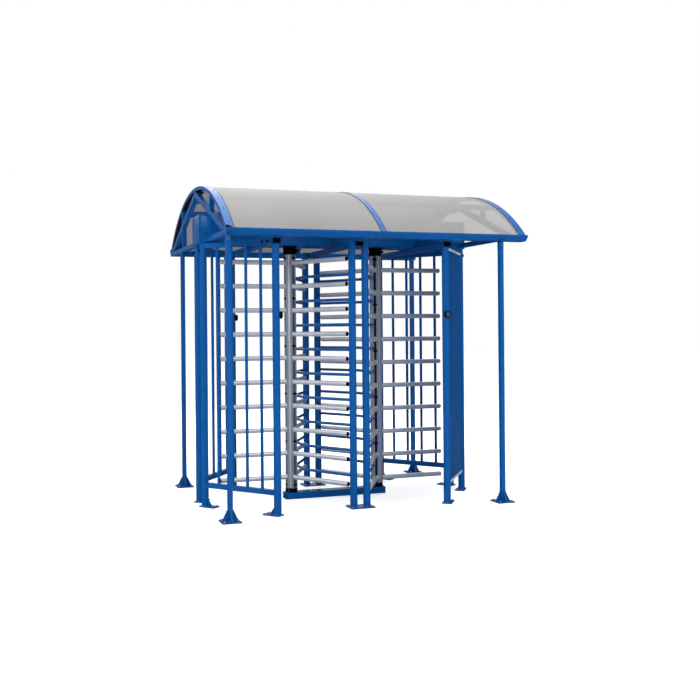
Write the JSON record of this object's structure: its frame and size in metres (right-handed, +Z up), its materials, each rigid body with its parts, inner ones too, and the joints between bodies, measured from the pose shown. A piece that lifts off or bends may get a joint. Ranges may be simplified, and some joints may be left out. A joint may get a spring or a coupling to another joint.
{
  "type": "full-height turnstile",
  "caption": "Twin full-height turnstile with overlapping barred rotors, fixed combs, barred side bays and a barrel-vault weather canopy.",
  "frame": {"origin": "on the floor under the base beam, midway between the two rotor axes", "axes": "+X along the header towards the longer end of the canopy, +Y from the front to the back of the passages, +Z up"},
  "size_m": [2.6674, 2.296, 2.6898],
  "materials": {
    "blue_paint": "semi-gloss blue powder coat",
    "bar_steel": "satin stainless steel",
    "black_plastic": "black moulded plastic",
    "roof_sheet": "smoke-tinted translucent polycarbonate sheet"
  },
  "bodies": {
    "frame": {"base_beam": "blue_paint", "bottom_bearings": "black_plastic", "top_bearings": "black_plastic", "header_housing": "blue_paint", "left_end_posts": "blue_paint", "right_end_posts": "blue_paint", "front_left_guard_post": "blue_paint", "back_left_guard_post": "blue_paint", "front_right_guard_post": "blue_paint", "back_right_guard_post": "blue_paint", "front_centre_posts": "blue_paint", "back_centre_posts": "blue_paint", "front_left_fence": "blue_paint", "back_left_fence": "blue_paint", "back_right_fence": "blue_paint", "front_right_cassette": "blue_paint", "left_comb": "blue_paint", "right_comb": "blue_paint", "left_top_beam": "blue_paint", "centre_top_beam": "blue_paint", "right_top_beam": "blue_paint", "beam_end_plugs": "black_plastic", "reader_discs": "black_plastic", "front_left_canopy_post": "blue_paint", "back_left_canopy_post": "blue_paint", "front_right_canopy_post": "blue_paint", "back_right_canopy_post": "blue_paint", "front_eave": "blue_paint", "back_eave": "blue_paint", "left_arch": "blue_paint", "middle_arch": "blue_paint", "right_arch": "blue_paint", "left_truss": "blue_paint", "right_truss": "blue_paint", "right_tie_beam": "blue_paint", "roof_purlins": "blue_paint", "left_roof_sheet": "roof_sheet", "right_roof_sheet": "roof_sheet"},
    "left_rotor": {"left_rotor_column": "bar_steel", "left_rotor_bars": "bar_steel", "left_bar_plugs": "black_plastic"},
    "right_rotor": {"right_rotor_column": "bar_steel", "right_rotor_bars": "bar_steel", "right_bar_plugs": "black_plastic"}
  },
  "joints": [
    {"name": "left_rotor_spin", "type": "hinge", "parent": "frame", "child": "left_rotor", "pos_m": [-0.4, 0, 0], "axis": [0, 0, 1], "continuous": true},
    {"name": "right_rotor_spin", "type": "hinge", "parent": "frame", "child": "right_rotor", "pos_m": [0.4, 0, 0], "axis": [0, 0, 1], "continuous": true}
  ]
}
